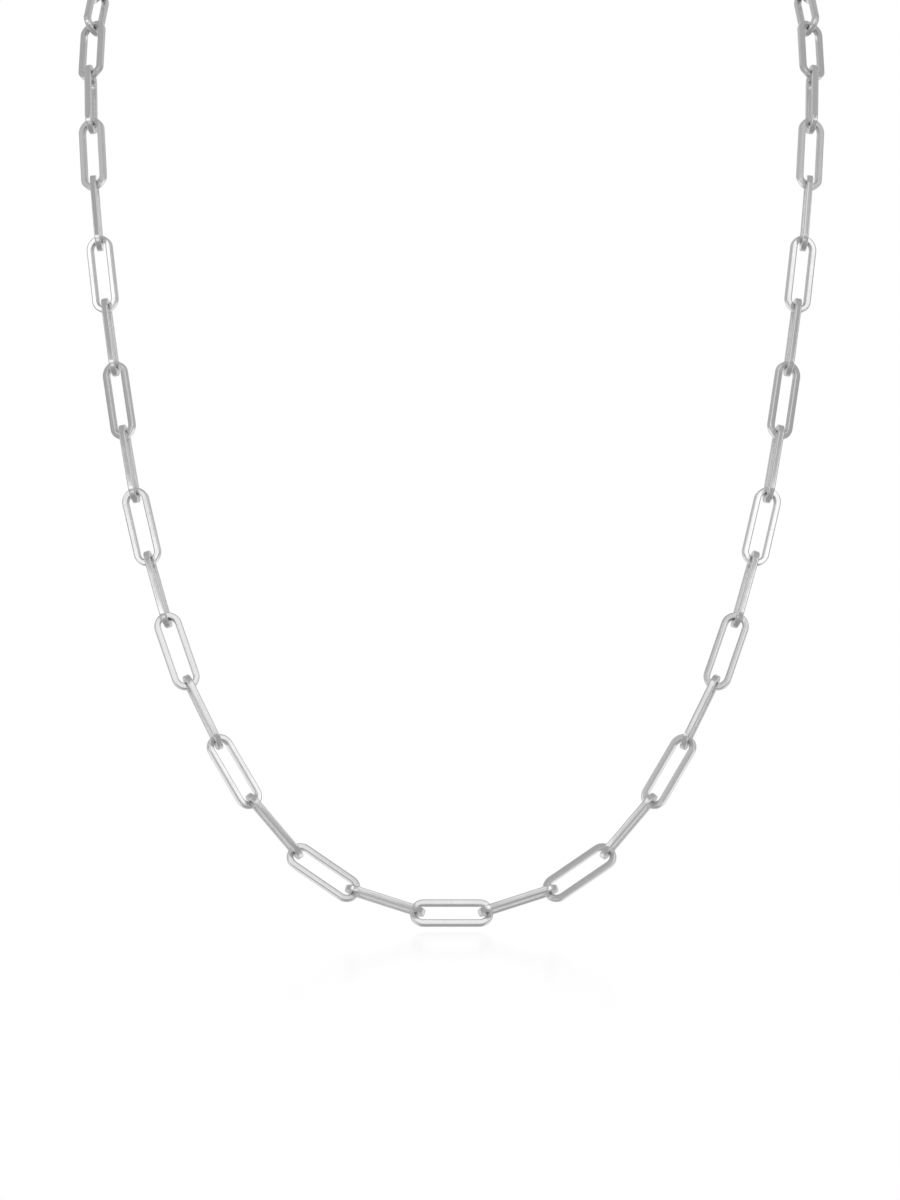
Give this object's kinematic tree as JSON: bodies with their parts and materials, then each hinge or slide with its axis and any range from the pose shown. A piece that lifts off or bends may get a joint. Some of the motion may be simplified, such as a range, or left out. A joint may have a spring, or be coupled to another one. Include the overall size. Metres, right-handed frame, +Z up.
{
  "type": "paperclip chain necklace",
  "caption": "Necklace of long, narrow oval links of square wire, each set edge-on to the next, closed at the nape by a flat clasp; it keeps the hanging loop of a worn chain.",
  "frame": {"origin": "middle of the clasp's inner face, where it lies on the nape", "axes": "+X to the wearer's left, +Y to the back, +Z up; the lowest link hangs in front, at -Y, and below"},
  "size_m": [0.1002, 0.0909, 0.136],
  "materials": {
    "silver": "polished silver"
  },
  "bodies": {
    "root": {"link_01": "silver", "link_02": "silver", "link_03": "silver", "link_04": "silver", "link_05": "silver", "link_06": "silver", "link_07": "silver", "link_08": "silver", "link_09": "silver", "link_10": "silver", "link_11": "silver", "link_12": "silver", "link_13": "silver", "link_14": "silver", "link_15": "silver", "link_16": "silver", "link_17": "silver", "link_18": "silver", "link_19": "silver", "link_20": "silver", "link_21": "silver", "link_22": "silver", "link_23": "silver", "link_24": "silver", "link_25": "silver", "link_26": "silver", "link_27": "silver", "link_28": "silver", "link_29": "silver", "back_chain_left": "silver", "back_chain_right": "silver", "jump_ring_left": "silver", "jump_ring_right": "silver", "clasp": "silver"}
  },
  "joints": []
}
